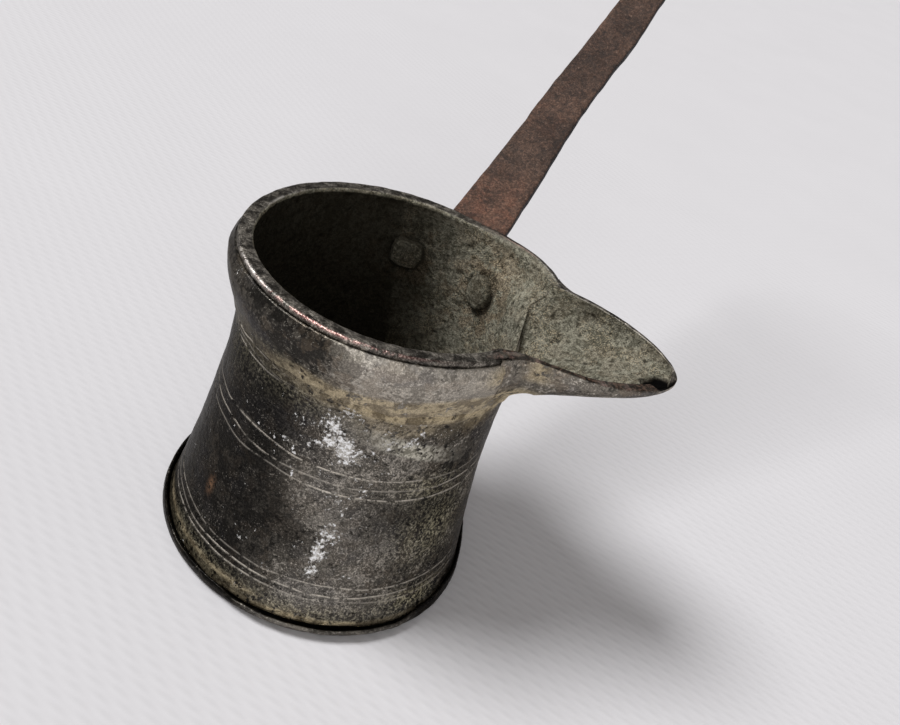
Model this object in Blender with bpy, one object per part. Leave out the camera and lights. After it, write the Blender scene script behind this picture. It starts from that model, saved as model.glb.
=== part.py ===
"""Long-handled coffee pot (a cezve): tinned copper body, collar, spout and base, iron strap, copper rivets.

Frame: metres, +Z up. The origin is the centre of the base's underside. The spout points along +X, and the
handle leaves the pot's side at HANDLE_AZIMUTH from it. Run with: blender --background --python part.py
"""

import math

import bmesh
import bpy
from mathutils import Matrix, Vector

MM = 0.001
CLEARANCE = 0.3 * MM

# Driving dimensions of the pot
HEIGHT = 72.5 * MM
MOUTH_RADIUS = 33.5 * MM
LIP_WIDTH = 3.1 * MM
LIP_THICKNESS = 1.4 * MM
NECK_RADIUS = 30.65 * MM
NECK_HEIGHT = 53.6 * MM
FOOT_RADIUS = 37.5 * MM
FLARE_POWER = 1.7
WALL = 1.0 * MM
ROUND_STEPS = 72

# Collar: a bulged band round the top of the body, under the lip
COLLAR_BOTTOM = 57.2 * MM
COLLAR_BULGE = 34.7 * MM
COLLAR_SHEET = 1.2 * MM

# The mouth is drawn out of round towards the spout, on the handle's side only
DRAW = 4.0 * MM
DRAW_FROM = math.radians(80)
DRAW_FULL = math.radians(36)
DRAW_FADE = math.radians(24)
DRAW_GONE = math.radians(-5)
DRAW_BOTTOM = 61.0 * MM
DRAW_TOP = 71.0 * MM

# Base: a disc whose edge is turned up round the body's foot
BASE_RADIUS = 38.6 * MM
BASE_SHEET = 1.05 * MM
BASE_FLANGE_HEIGHT = 3.6 * MM

# Spout: an open, boat-shaped beak
SPOUT_TIP = 61.3 * MM
SPOUT_ROOT = 24.0 * MM
SPOUT_LEAF_START = 30.0 * MM
SPOUT_FLARE_END = 38.0 * MM
SPOUT_HALF_WIDTH = 16.6 * MM
SPOUT_DEPTH = 15.2 * MM
SPOUT_TIP_DEPTH = 1.9 * MM
SPOUT_ROOT_FILLET = 3.4 * MM
SPOUT_FILLET_REACH = 5.0 * MM
SPOUT_SHEET = 1.3 * MM
SPOUT_DROP = 0.05

# Handle: a forged strap with a palm that hugs the collar
HANDLE_AZIMUTH = math.radians(77)
PALM_SLOPE = math.radians(73.3)
PALM_LENGTH = 7.3 * MM
PALM_START = Vector((32.55, 54.3)) * MM
PALM_HALF_WIDTH = 16.0 * MM
STRAP_SLOPE = math.radians(33)
STRAP_BEND_RADIUS = 5.5 * MM
STRAP_LENGTH = 196.0 * MM
STRAP_THICKNESS = 2.6 * MM
STRAP_ROOT_HALF_WIDTH = 8.3 * MM
STRAP_WAIST_HALF_WIDTH = 5.2 * MM
STRAP_TAPER_RUN = 34.0 * MM
EYE_HALF_WIDTH = 8.2 * MM
EYE_HOLE_RADIUS = 2.5 * MM

# Rivets: two, through body, collar and palm
RIVET_HEIGHT = 59.0 * MM
RIVET_HALF_SPREAD = math.radians(20)
RIVET_TILT = math.radians(8)
RIVET_SHANK_RADIUS = 1.9 * MM
RIVET_HEAD_RADIUS = 3.6 * MM
RIVET_INNER_SEAT = 29.4 * MM
RIVET_OUTER_SEAT = 35.55 * MM
RIVET_STEPS = 20


def clear_scene():
    for existing in list(bpy.data.objects):
        bpy.data.objects.remove(existing, do_unlink=True)


def metal(name, colour, roughness, metallic=1.0):
    material = bpy.data.materials.new(name)
    material.use_nodes = True
    shader = material.node_tree.nodes["Principled BSDF"]
    shader.inputs["Base Color"].default_value = (*colour, 1.0)
    shader.inputs["Roughness"].default_value = roughness
    shader.inputs["Metallic"].default_value = metallic
    return material


def add_object(name, mesh, material, parent=None):
    mesh.materials.append(material)
    made = bpy.data.objects.new(name, mesh)
    bpy.context.scene.collection.objects.link(made)
    made.parent = parent
    return made


def mesh_from(name, points, faces):
    """A mesh with its doubled points merged, its faces pointing out and its round stretches smooth."""
    mesh = bpy.data.meshes.new(name)
    mesh.from_pydata([tuple(point) for point in points], [], faces)
    shape = bmesh.new()
    shape.from_mesh(mesh)
    bmesh.ops.remove_doubles(shape, verts=shape.verts, dist=0.001 * MM)
    bmesh.ops.recalc_face_normals(shape, faces=shape.faces)
    shape.to_mesh(mesh)
    shape.free()
    mesh.shade_smooth()
    mesh.set_sharp_from_angle(angle=math.radians(40))
    return mesh


def turned(name, profile, steps=ROUND_STEPS):
    """A closed outline of (radius, height) points turned once round +Z."""
    points = []
    for step in range(steps):
        angle = 2 * math.pi * step / steps
        for radius, height in profile:
            points.append((radius * math.cos(angle), radius * math.sin(angle), height))
    count = len(profile)
    faces = []
    for step in range(steps):
        here = step * count
        there = (step + 1) % steps * count
        for row in range(count):
            after = (row + 1) % count
            if profile[row][0] == 0 and profile[after][0] == 0:
                continue
            faces.append((here + row, there + row, there + after, here + after))
    return mesh_from(name, points, faces)


def smooth_step(start, end, value):
    share = min(1.0, max(0.0, (value - start) / (end - start)))
    return share * share * (3 - 2 * share)


def draw_mouth(mesh):
    """Draws the top of a round mesh outwards between the handle and the spout."""
    for vertex in mesh.vertices:
        radius = math.hypot(vertex.co.x, vertex.co.y)
        if radius < NECK_RADIUS / 2:
            continue
        azimuth = math.atan2(vertex.co.y, vertex.co.x)
        share = smooth_step(DRAW_FROM, DRAW_FULL, azimuth) * smooth_step(DRAW_GONE, DRAW_FADE, azimuth)
        share *= smooth_step(DRAW_BOTTOM, DRAW_TOP, vertex.co.z)
        grown = 1 + DRAW * share / radius
        vertex.co.x *= grown
        vertex.co.y *= grown
    return mesh


def boat(name, rows):
    """A closed solid skinned over rows of points, with its first and last rows as its ends."""
    count = len(rows[0])
    points = [point for row in rows for point in row]
    faces = []
    for here in range(len(rows) - 1):
        for column in range(count):
            after = (column + 1) % count
            low = here * count
            high = low + count
            faces.append((low + column, low + after, high + after, high + column))
    faces.append(tuple(range(count)))
    last = (len(rows) - 1) * count
    faces.append(tuple(range(last, last + count)))
    return mesh_from(name, points, faces)


def cut(target, cutter):
    """Takes cutter out of target, and keeps the cutter only as a hidden helper."""
    boolean = target.modifiers.new("cut_" + cutter.name, "BOOLEAN")
    boolean.operation = "DIFFERENCE"
    boolean.solver = "EXACT"
    boolean.object = cutter
    cutter.hide_render = True
    cutter.display_type = "WIRE"


def wall_radius(height):
    """The body's outer radius: a straight neck, then a flare down to the foot."""
    fall = max(0.0, (NECK_HEIGHT - height) / NECK_HEIGHT)
    rise = max(0.0, (height - NECK_HEIGHT) / (HEIGHT - NECK_HEIGHT))
    return NECK_RADIUS + (FOOT_RADIUS - NECK_RADIUS) * fall**FLARE_POWER + 0.7 * MM * rise


def make_body(material):
    """The waisted wall with its top edge turned out as a flat lip."""
    foot = BASE_SHEET + CLEARANCE
    shoulder = HEIGHT - LIP_THICKNESS
    steps = 14
    heights = [foot + (shoulder - foot) * step / steps for step in range(steps + 1)]
    bore = MOUTH_RADIUS - LIP_WIDTH
    outline = [(wall_radius(height), height) for height in heights]
    outline += [(MOUTH_RADIUS - 0.2 * MM, shoulder), (MOUTH_RADIUS, shoulder + 0.4 * MM)]
    outline += [(MOUTH_RADIUS - 0.1 * MM, HEIGHT - 0.2 * MM), (MOUTH_RADIUS - 0.4 * MM, HEIGHT)]
    outline += [(bore + 0.3 * MM, HEIGHT), (bore, HEIGHT - 0.4 * MM)]
    outline += [(wall_radius(height) - WALL, height) for height in reversed(heights)]
    return add_object("body_shell", draw_mouth(turned("body_shell", outline)), material)


def make_collar(material):
    """The bulged band, feathered where it meets the neck."""
    top = HEIGHT - LIP_THICKNESS - CLEARANCE
    rise = top - COLLAR_BOTTOM
    foot_radius = wall_radius(COLLAR_BOTTOM) + 0.9 * MM
    outer, inner = [], []
    steps = 7
    for step in range(steps + 1):
        share = step / steps
        height = COLLAR_BOTTOM + rise * share
        bulge = math.sin(min(1.0, share / 0.85) * math.pi / 2) ** 1.5
        radius = foot_radius + (COLLAR_BULGE - foot_radius) * bulge
        radius -= max(0.0, share - 0.85) / 0.15 * 0.9 * MM
        sheet = min(COLLAR_SHEET, 0.5 * MM + 2.0 * share * COLLAR_SHEET)
        outer.append((radius, height))
        inner.append((max(radius - sheet, wall_radius(height) + CLEARANCE), height))
    return add_object("rim_collar", draw_mouth(turned("rim_collar", outer + inner[::-1])), material)


def spout_half_width(reach):
    """Leaf-shaped in plan: flared at the root, near parallel, then rounded in to the tip."""
    along = max(0.0, (reach - SPOUT_LEAF_START) / (SPOUT_TIP - SPOUT_LEAF_START))
    leaf = SPOUT_HALF_WIDTH * max(0.0, 1 - along**2.6) ** 0.6
    flare = 0.7 * MM * (max(0.0, SPOUT_FLARE_END - reach) / (8 * MM)) ** 2
    return leaf + flare


def spout_depth(reach):
    """Deepest at the wall, where it also runs down into a fillet, and shallow at the tip."""
    along = max(0.0, (SPOUT_TIP - reach) / (SPOUT_TIP - SPOUT_LEAF_START))
    fillet = SPOUT_ROOT_FILLET * math.exp((SPOUT_LEAF_START - reach) / SPOUT_FILLET_REACH)
    return SPOUT_TIP_DEPTH + (SPOUT_DEPTH - SPOUT_TIP_DEPTH) * along**1.25 + fillet


def spout_section(reach, margin, top_margin=0.0):
    """One U of the spout, across it at a distance from the axis. A positive margin makes it larger."""
    half_width = max(0.5 * MM, spout_half_width(reach) + margin)
    depth = max(0.6 * MM, spout_depth(reach) + margin)
    brim = HEIGHT - SPOUT_DROP * max(0.0, reach - SPOUT_LEAF_START)
    row = []
    steps = 14
    for step in range(steps + 1):
        angle = math.pi * step / steps
        across = half_width * math.cos(angle)
        height = brim - depth * math.sin(angle) ** 0.85
        row.append(Vector((reach, across, height)))
    if top_margin:
        row.insert(0, Vector((reach, half_width, brim + top_margin)))
        row.append(Vector((reach, -half_width, brim + top_margin)))
    return row


def spout_reaches(tip):
    """Distances from the axis, closer together where the spout rounds in to its tip."""
    steps = 18
    return [SPOUT_ROOT + (tip - SPOUT_ROOT) * (1 - (1 - step / steps) ** 1.6) for step in range(steps + 1)]


def make_spout(material):
    """The spout's shell, trimmed to the inside of the body's bore."""
    outer_reaches = spout_reaches(SPOUT_TIP - 0.15 * MM)
    inner_reaches = spout_reaches(SPOUT_TIP - 0.15 * MM - SPOUT_SHEET)
    outer = [spout_section(reach, 0.0) for reach in outer_reaches]
    shell = boat("pouring_spout", outer)
    spout = add_object("pouring_spout", shell, material)
    hollow_rows = [spout_section(reach, -SPOUT_SHEET, 5 * MM) for reach in inner_reaches]
    hollow_rows.insert(0, [point - Vector((5 * MM, 0, 0)) for point in hollow_rows[0]])
    cut(spout, add_object("cutter_spout_hollow", boat("cutter_spout_hollow", hollow_rows), material))
    bore = MOUTH_RADIUS - LIP_WIDTH
    draw_levels = [DRAW_BOTTOM + (DRAW_TOP - DRAW_BOTTOM) * step / 6 for step in range(7)]
    levels = [40 * MM] + draw_levels + [90 * MM]
    drum = [(0, levels[0])] + [(bore, level) for level in levels] + [(0, levels[-1])]
    cut(spout, add_object("cutter_bore", draw_mouth(turned("cutter_bore", drum)), material))
    return spout


def open_for_spout(targets, material):
    """Cuts the spout's outline, with clearance all round, out of the wall and the collar."""
    rows = [spout_section(reach, CLEARANCE, 5 * MM) for reach in spout_reaches(SPOUT_TIP)]
    cutter = add_object("cutter_spout_seat", boat("cutter_spout_seat", rows), material)
    for target in targets:
        cut(target, cutter)


def make_base(material):
    """A flat disc with its edge turned up and a little in, round the foot."""
    inside = FOOT_RADIUS + CLEARANCE
    outline = [(0, 0), (BASE_RADIUS - 0.9 * MM, 0), (BASE_RADIUS - 0.2 * MM, 0.5 * MM)]
    outline += [(BASE_RADIUS, 1.5 * MM), (BASE_RADIUS - 0.2 * MM, BASE_FLANGE_HEIGHT)]
    outline += [(inside - 0.25 * MM, BASE_FLANGE_HEIGHT), (inside, 1.6 * MM)]
    outline += [(inside - 0.3 * MM, BASE_SHEET), (0, BASE_SHEET)]
    return add_object("base_disc", turned("base_disc", outline), material)


def handle_path():
    """Centre line, as (distance from the start, point, direction): palm, then bend, then strap."""
    path = []
    turn = PALM_SLOPE - STRAP_SLOPE
    bend_start = PALM_START + PALM_LENGTH * Vector((math.cos(PALM_SLOPE), math.sin(PALM_SLOPE)))
    centre = bend_start + STRAP_BEND_RADIUS * Vector((math.sin(PALM_SLOPE), -math.cos(PALM_SLOPE)))
    palm_steps, bend_steps, strap_steps, eye_steps = 6, 6, 14, 10
    for step in range(palm_steps):
        run = PALM_LENGTH * step / palm_steps
        point = PALM_START + run * Vector((math.cos(PALM_SLOPE), math.sin(PALM_SLOPE)))
        path.append((run, point, PALM_SLOPE))
    for step in range(bend_steps):
        slope = PALM_SLOPE - turn * step / bend_steps
        point = centre + STRAP_BEND_RADIUS * Vector((-math.sin(slope), math.cos(slope)))
        path.append((PALM_LENGTH + STRAP_BEND_RADIUS * (PALM_SLOPE - slope), point, slope))
    bend_end = centre + STRAP_BEND_RADIUS * Vector((-math.sin(STRAP_SLOPE), math.cos(STRAP_SLOPE)))
    eye_start = STRAP_LENGTH - 2 * EYE_HALF_WIDTH
    runs = [eye_start * step / strap_steps for step in range(strap_steps)]
    for step in range(eye_steps + 1):
        runs.append(eye_start + EYE_HALF_WIDTH * (1 - math.cos(math.pi * step / eye_steps)))
    for run in runs:
        point = bend_end + run * Vector((math.cos(STRAP_SLOPE), math.sin(STRAP_SLOPE)))
        path.append((PALM_LENGTH + STRAP_BEND_RADIUS * turn + run, point, STRAP_SLOPE))
    return path


def handle_half_width(run, length):
    """Wide palm, quick shoulders, a taper that slows along the strap, then a round eye at the end."""
    shoulder = 1 / (1 + math.exp((run - 9.2 * MM) / (0.7 * MM)))
    past_palm = max(0.0, run - PALM_LENGTH)
    strap = STRAP_WAIST_HALF_WIDTH
    strap += (STRAP_ROOT_HALF_WIDTH - STRAP_WAIST_HALF_WIDTH) * math.exp(-past_palm / STRAP_TAPER_RUN)
    corner = 1 - 0.28 * max(0.0, 1 - run / (2.2 * MM)) ** 2
    to_eye = (length - EYE_HALF_WIDTH - run) / EYE_HALF_WIDTH
    eye = EYE_HALF_WIDTH * math.sqrt(max(0.01, 1 - to_eye**2))
    width = (strap + (PALM_HALF_WIDTH - strap) * shoulder) * corner
    return eye if to_eye < 0 else max(width, eye)


def handle_point(point, slope, across, lift, wrap):
    """A point on the handle, wrapped round the pot's axis by wrap (1 on the palm, 0 on the strap)."""
    radius = point.x - lift * math.sin(slope)
    height = point.y + lift * math.cos(slope)
    angle = across / radius
    flat = Vector((radius, across, height))
    hugging = Vector((radius * math.cos(angle), radius * math.sin(angle), height))
    return flat.lerp(hugging, wrap)


def make_handle(material, parent):
    path = handle_path()
    length = path[-1][0]
    columns = 8
    rows = []
    for run, point, slope in path:
        half_width = handle_half_width(run, length)
        wrap = min(1.0, max(0.0, (18 * MM - run) / (7 * MM)))
        top, bottom = [], []
        for column in range(columns + 1):
            across = half_width * (2 * column / columns - 1)
            top.append(handle_point(point, slope, across, STRAP_THICKNESS / 2, wrap))
            bottom.append(handle_point(point, slope, across, -STRAP_THICKNESS / 2, wrap))
        rows.append(top + bottom[::-1])
    handle = add_object("handle", boat("handle", rows), material, parent)
    run, point, slope = path[-1]
    eye_centre = point - EYE_HALF_WIDTH * Vector((math.cos(slope), math.sin(slope)))
    drill = [(0, -6 * MM), (EYE_HOLE_RADIUS, -6 * MM), (EYE_HOLE_RADIUS, 6 * MM), (0, 6 * MM)]
    punch = add_object("cutter_eye", turned("cutter_eye", drill, 24), material, parent)
    punch.location = (eye_centre.x, 0, eye_centre.y)
    punch.rotation_euler = (0, -slope, 0)
    cut(handle, punch)
    return handle


def rivet_outline():
    """Half-section of a rivet along its own axis: flat inner head, shank, domed outer head."""
    head = RIVET_HEAD_RADIUS
    seat, far = 0.0, RIVET_OUTER_SEAT - RIVET_INNER_SEAT
    outline = [(0, seat - 0.9 * MM), (head * 0.8, seat - 0.8 * MM), (head, seat - 0.3 * MM), (head, seat)]
    outline += [(RIVET_SHANK_RADIUS, seat), (RIVET_SHANK_RADIUS, far), (head, far)]
    outline += [(head * 0.95, far + 0.5 * MM), (head * 0.7, far + 1.2 * MM)]
    outline += [(head * 0.3, far + 1.6 * MM), (0, far + 1.65 * MM)]
    return outline


def rivet_mesh(name):
    """The turned rivet, each head leaned to lie flat: upright inside, along the palm outside."""
    mesh = turned(name, rivet_outline(), RIVET_STEPS)
    far = RIVET_OUTER_SEAT - RIVET_INNER_SEAT
    palm_lean = math.tan(math.pi / 2 - PALM_SLOPE - RIVET_TILT)
    for vertex in mesh.vertices:
        if vertex.co.z < far / 2:
            vertex.co.z += math.tan(RIVET_TILT) * vertex.co.x
        else:
            vertex.co.z -= palm_lean * vertex.co.x
    return mesh


def make_rivets(materials, targets):
    """Two rivets either side of the handle's centre line, and the holes they sit in."""
    made = []
    hole_radius = RIVET_SHANK_RADIUS + CLEARANCE / 2
    hole = [(0, -4 * MM), (hole_radius, -4 * MM), (hole_radius, 12 * MM), (0, 12 * MM)]
    for name, side in (("rivet_left", 1), ("rivet_right", -1)):
        azimuth = HANDLE_AZIMUTH + side * RIVET_HALF_SPREAD
        outward = Matrix.Rotation(azimuth, 4, "Z") @ Matrix.Rotation(math.pi / 2 + RIVET_TILT, 4, "Y")
        place = Matrix.Translation((0, 0, RIVET_HEIGHT)) @ outward
        for target in targets:
            drill_mesh = turned("drill", hole, RIVET_STEPS)
            drill = add_object(f"cutter_{name}_{target.name}", drill_mesh, materials["copper"])
            drill.matrix_world = place @ Matrix.Translation((0, 0, RIVET_INNER_SEAT))
            cut(target, drill)
        rivet = add_object(name, rivet_mesh(name), materials["copper"])
        rivet.matrix_world = place @ Matrix.Translation((0, 0, RIVET_INNER_SEAT))
        made.append(rivet)
    return made


def main():
    clear_scene()
    materials = {
        "tinned": metal("tinned_copper", (0.11, 0.105, 0.095), 0.5),
        "collar": metal("collar_tin", (0.16, 0.155, 0.145), 0.45),
        "iron": metal("forged_iron", (0.12, 0.07, 0.05), 0.75, 0.4),
        "copper": metal("rivet_copper", (0.20, 0.16, 0.13), 0.6),
    }
    root = bpy.data.objects.new("coffee_pot", None)
    bpy.context.scene.collection.objects.link(root)
    handle_mount = bpy.data.objects.new("handle_mount", None)
    bpy.context.scene.collection.objects.link(handle_mount)
    handle_mount.rotation_euler = (0, 0, HANDLE_AZIMUTH)
    handle_mount.parent = root
    body = make_body(materials["tinned"])
    collar = make_collar(materials["collar"])
    spout = make_spout(materials["collar"])
    base = make_base(materials["tinned"])
    open_for_spout((body, collar), materials["collar"])
    handle = make_handle(materials["iron"], handle_mount)
    rivets = make_rivets(materials, (body, collar, handle))
    for part in (body, collar, spout, base, *rivets):
        part.parent = root


main()
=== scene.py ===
"""Looks of the long-handled coffee pot: aged tinned copper body, collar, beak spout and base, iron strap.

Frame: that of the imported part, +Z up, origin under the base, spout along +X. Builders work in millimetres.
"""

import math

import bmesh
import bpy
import numpy as np
from mathutils import Matrix, Vector


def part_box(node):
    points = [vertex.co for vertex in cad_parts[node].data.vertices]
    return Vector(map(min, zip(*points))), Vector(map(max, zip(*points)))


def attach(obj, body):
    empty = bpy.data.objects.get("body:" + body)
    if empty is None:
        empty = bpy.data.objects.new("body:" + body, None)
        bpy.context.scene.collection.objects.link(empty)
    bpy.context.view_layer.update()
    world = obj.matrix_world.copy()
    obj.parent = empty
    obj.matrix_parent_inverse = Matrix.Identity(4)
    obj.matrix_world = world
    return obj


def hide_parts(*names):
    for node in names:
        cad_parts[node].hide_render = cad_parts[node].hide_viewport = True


MM = 0.001
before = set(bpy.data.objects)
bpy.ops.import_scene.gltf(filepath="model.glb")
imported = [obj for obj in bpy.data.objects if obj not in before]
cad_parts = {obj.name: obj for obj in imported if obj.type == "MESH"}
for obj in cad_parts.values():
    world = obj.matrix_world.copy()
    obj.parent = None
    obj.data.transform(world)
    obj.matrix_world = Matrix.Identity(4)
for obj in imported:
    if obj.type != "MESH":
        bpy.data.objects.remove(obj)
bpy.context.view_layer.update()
FINE = 1.0


def cad_size(node, corner, axis):
    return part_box(node)[corner][axis] / MM


# Driving sizes, in millimetres. Those that the CAD boxes hold are read from them.
HEIGHT = cad_size("body_shell", 1, 2)
FOOT = cad_size("body_shell", 0, 2)
BASE_RADIUS = -cad_size("base_disc", 0, 0)
BASE_FLANGE = cad_size("base_disc", 1, 2)
SPOUT_TIP = cad_size("pouring_spout", 1, 0)
MOUTH_RADIUS = 33.5
LIP_WIDTH = 3.1
LIP_THICKNESS = 1.4
NECK_RADIUS = 30.65
NECK_HEIGHT = 53.6
FOOT_RADIUS = 37.5
FLARE_POWER = 1.7
WALL = 1.0
COLLAR_BOTTOM = 57.2
COLLAR_TOP = HEIGHT - LIP_THICKNESS - 0.1
COLLAR_BULGE = 34.7
COLLAR_EDGE = 0.75
COLLAR_SHEET = 1.2
BASE_SHEET = 1.05
DRAW = 4.0
DRAW_BOTTOM = 61
DRAW_TOP = 71
SPOUT_ROOT = 31.0
SPOUT_LEAF_START = 30.0
SPOUT_FLARE_END = 38
SPOUT_HALF_WIDTH = 16.6
SPOUT_DEPTH = 15.2
SPOUT_TIP_DEPTH = 1.9
SPOUT_SHEET = 1.3
SPOUT_DROP = 0.05
SPOUT_FULLNESS = 0.85
INNER_FILLET = 2.6
OUTER_FILLET = 4.2
FILLET_SHARE = 0.35
HANDLE_AZIMUTH = math.radians(77)
PALM_SLOPE = math.radians(73.3)
PALM_LENGTH = 7.3
PALM_START = (32.55, 54.3)
PALM_HALF_WIDTH = 16.0
STRAP_SLOPE = math.radians(33)
STRAP_BEND_RADIUS = 5.5
STRAP_LENGTH = 196.0
STRAP_THICKNESS = 2.6
STRAP_WAIST_HALF_WIDTH = 5.2
STRAP_ROOT_SPREAD = 3.1
STRAP_TAPER_RUN = 34
EYE_HALF_WIDTH = 8.2
EYE_HOLE_RADIUS = 2.5
RIVET_HEIGHT = 59.0
RIVET_SPREAD = math.radians(20)
RIVET_TILT = math.radians(8)
RIVET_SHANK = 1.9
RIVET_INNER_SEAT = 29.55
RIVET_OUTER_SEAT = 35.3

# Scribed lines round the body: the height of each, by group
LINE_GROUPS = ((56.4, 55.2, 53.8), (40.2, 37.5, 35.0), (11.4, 9.5, 7.8))


# ---------------------------------------------------------------- small maths


def step(start, end, value):
    """0 before start, 1 after end, smooth between."""
    share = np.clip((np.asarray(value, float) - start) / (end - start), 0, 1)
    return share * share * (3 - 2 * share)


def hill(centre, half_width, value):
    """1 at centre, falling smoothly to nothing beyond about twice half_width."""
    return np.exp(-(((np.asarray(value, float) - centre) / half_width) ** 2))


def turn_between(azimuth, centre):
    """Signed degrees from centre to azimuth, both in degrees, the short way round."""
    return (np.asarray(azimuth, float) - centre + 180) % 360 - 180


def facing(degrees, centre, half_width):
    """1 on one side of the pot, falling smoothly away from it round the pot, all in degrees."""
    return hill(0, half_width, turn_between(degrees, centre))


def lattice(cell, seed):
    """A repeatable number from 0 to 1 for each whole-number cell."""
    mixed = cell[..., 0] * 374761393 + cell[..., 1] * 668265263 + cell[..., 2] * 1440662683
    mixed = mixed + seed * 1274126177
    mixed = (mixed ^ (mixed >> 13)) * 1274126177
    mixed = mixed ^ (mixed >> 16)
    return (mixed & 0xFFFFFF) / float(0xFFFFFF)


def bumps(points, size, seed=0, octaves=1):
    """Smooth noise from about -1 to 1, with features of about size, and finer ones for more octaves."""
    total = np.zeros(points.shape[:-1])
    for octave in range(octaves):
        place = points / size * 2.0**octave + 31.7 * octave
        cell = np.floor(place).astype(np.int64)
        part = place - cell
        part = part * part * (3 - 2 * part)
        value = np.zeros(points.shape[:-1])
        for corner in range(8):
            offset = np.array([corner & 1, corner >> 1 & 1, corner >> 2 & 1])
            weight = np.prod(np.where(offset, part, 1 - part), axis=-1)
            value += weight * lattice(cell + offset, seed + octave)
        total += (value * 2 - 1) * 0.5**octave
    return total


def layered(points, *layers):
    """Noise of several sizes added up. A layer is its strength, then its bumps' size, seed and octaves."""
    return sum(strength * bumps(points, *rest) for strength, *rest in layers)


# ---------------------------------------------------------------- meshes


def put_in_scene(name, data):
    """A new object that holds data, in the scene."""
    made = bpy.data.objects.new(name, data)
    bpy.context.scene.collection.objects.link(made)
    return made


def grid_faces(rows, columns, wrap_rows, wrap_columns):
    """Four-sided faces over a grid of points, joined round where a direction wraps."""
    index = np.arange(rows * columns).reshape(rows, columns)
    below = index if wrap_rows else index[:-1]
    above = np.roll(index, -1, axis=0) if wrap_rows else index[1:]
    if wrap_columns:
        corners = (below, np.roll(below, -1, axis=1), np.roll(above, -1, axis=1), above)
    else:
        corners = (below[:, :-1], below[:, 1:], above[:, 1:], above[:, :-1])
    return np.stack(corners, axis=-1)


def grid_piece(name, node, points, material, masks, wrap_rows=False, wrap_columns=False, skip=None):
    """A piece over a grid of points. It replaces node, if there is one. masks are for the material."""
    rows, columns = points.shape[:2]
    faces = grid_faces(rows, columns, wrap_rows, wrap_columns)
    if skip is not None:
        faces = faces[~skip[: faces.shape[0], : faces.shape[1]]]
    mesh = bpy.data.meshes.new(name)
    mesh.from_pydata((points.reshape(-1, 3) * MM).tolist(), [], faces.reshape(-1, 4).tolist())
    for key, values in masks.items():
        layer = mesh.attributes.new(key, "FLOAT", "POINT")
        layer.data.foreach_set("value", np.broadcast_to(values, (rows, columns)).astype(np.float32).ravel())
    mesh.validate()
    mesh.shade_smooth()
    mesh.materials.append(material)
    piece = put_in_scene(name, mesh)
    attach(piece, "root")
    if node:
        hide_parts(node)
    return piece


def around(radius, azimuth, height):
    """Points from their distance and direction from the pot's axis and their height."""
    return np.stack([radius * np.cos(azimuth), radius * np.sin(azimuth), height + 0 * radius], axis=-1)


def pushed(points, amount):
    """Points moved along the normal of the surface that they make, by amount in millimetres."""
    normal = np.cross(np.gradient(points, axis=1), np.gradient(points, axis=0))
    length = np.linalg.norm(normal, axis=-1, keepdims=True)
    return points + normal / np.maximum(length, 1e-9) * amount[..., None]


# ---------------------------------------------------------------- the pot's form


def drawn(azimuth, height):
    """How far the mouth is drawn out of round, between the handle and the spout."""
    degrees = np.degrees(azimuth)
    off = turn_between(degrees, 0)
    share = step(80, 36, off) * step(-5, 24, off)
    return DRAW * share * step(DRAW_BOTTOM, DRAW_TOP, height)


def wall_radius(height):
    """The body's outer radius: a straight neck, then a flare down to the foot."""
    fall = np.clip((NECK_HEIGHT - height) / NECK_HEIGHT, 0, None)
    rise = np.clip((height - NECK_HEIGHT) / (HEIGHT - NECK_HEIGHT), 0, None)
    return NECK_RADIUS + (FOOT_RADIUS - NECK_RADIUS) * fall**FLARE_POWER + 0.7 * rise


def collar_radius(share):
    """The collar's outer radius, from 0 at its lower edge to 1 at the lip."""
    shoulder = 0.85
    turned_in = 0.9
    bulge = np.sin(np.clip(share / shoulder, 0, 1) * np.pi / 2) ** 1.5
    low = float(wall_radius(np.array(COLLAR_BOTTOM))) + COLLAR_EDGE
    above_shoulder = np.clip(share - shoulder, 0, None) / (1 - shoulder)
    return low + (COLLAR_BULGE - low) * bulge - above_shoulder * turned_in


def spout_half_width(reach):
    """Leaf-shaped in plan: flared at the root, near parallel, then rounded in to the tip."""
    along = np.clip((reach - SPOUT_LEAF_START) / (SPOUT_TIP - SPOUT_LEAF_START), 0, 1)
    leaf = SPOUT_HALF_WIDTH * np.clip(1 - along**2.6, 0, None) ** 0.6
    return leaf + 0.7 * (np.clip(SPOUT_FLARE_END - reach, 0, None) / 8) ** 2


def spout_depth(reach):
    """Deepest at the wall, where it also runs down into a fillet, and shallow at the tip."""
    along = np.clip((SPOUT_TIP - reach) / (SPOUT_TIP - SPOUT_LEAF_START), 0, None)
    fillet = 3.4 * np.exp((SPOUT_LEAF_START - reach) / 5)
    return SPOUT_TIP_DEPTH + (SPOUT_DEPTH - SPOUT_TIP_DEPTH) * along**1.25 + fillet


def spout_brim(reach):
    return HEIGHT - SPOUT_DROP * np.clip(reach - SPOUT_LEAF_START, 0, None)


def spout_section(reach, around_u, inset):
    """(across, height) of the spout's U. around_u runs from 0 on the far rim to 1 on the near rim."""
    angle = np.pi * around_u
    half_width = np.clip(spout_half_width(reach) - inset, 0, None)
    depth = np.clip(spout_depth(reach) - inset, 0.4, None)
    return half_width * np.cos(angle), spout_brim(reach) - depth * np.sin(angle) ** SPOUT_FULLNESS


def notch_azimuth(height, inset, fillet, radius):
    """Half of the angle that the spout and its fillet take out of a wall of this radius, at this height."""
    margin = FILLET_SHARE * fillet
    depth = float(spout_depth(SPOUT_ROOT)) - inset + margin
    fall = np.clip((float(spout_brim(SPOUT_ROOT)) - height) / depth, 0, 1)
    half_width = float(spout_half_width(SPOUT_ROOT)) - inset + margin
    half = half_width * np.sqrt(1 - fall ** (2 / SPOUT_FULLNESS))
    return np.arcsin(np.clip(half / radius, 0, 0.9))


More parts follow.
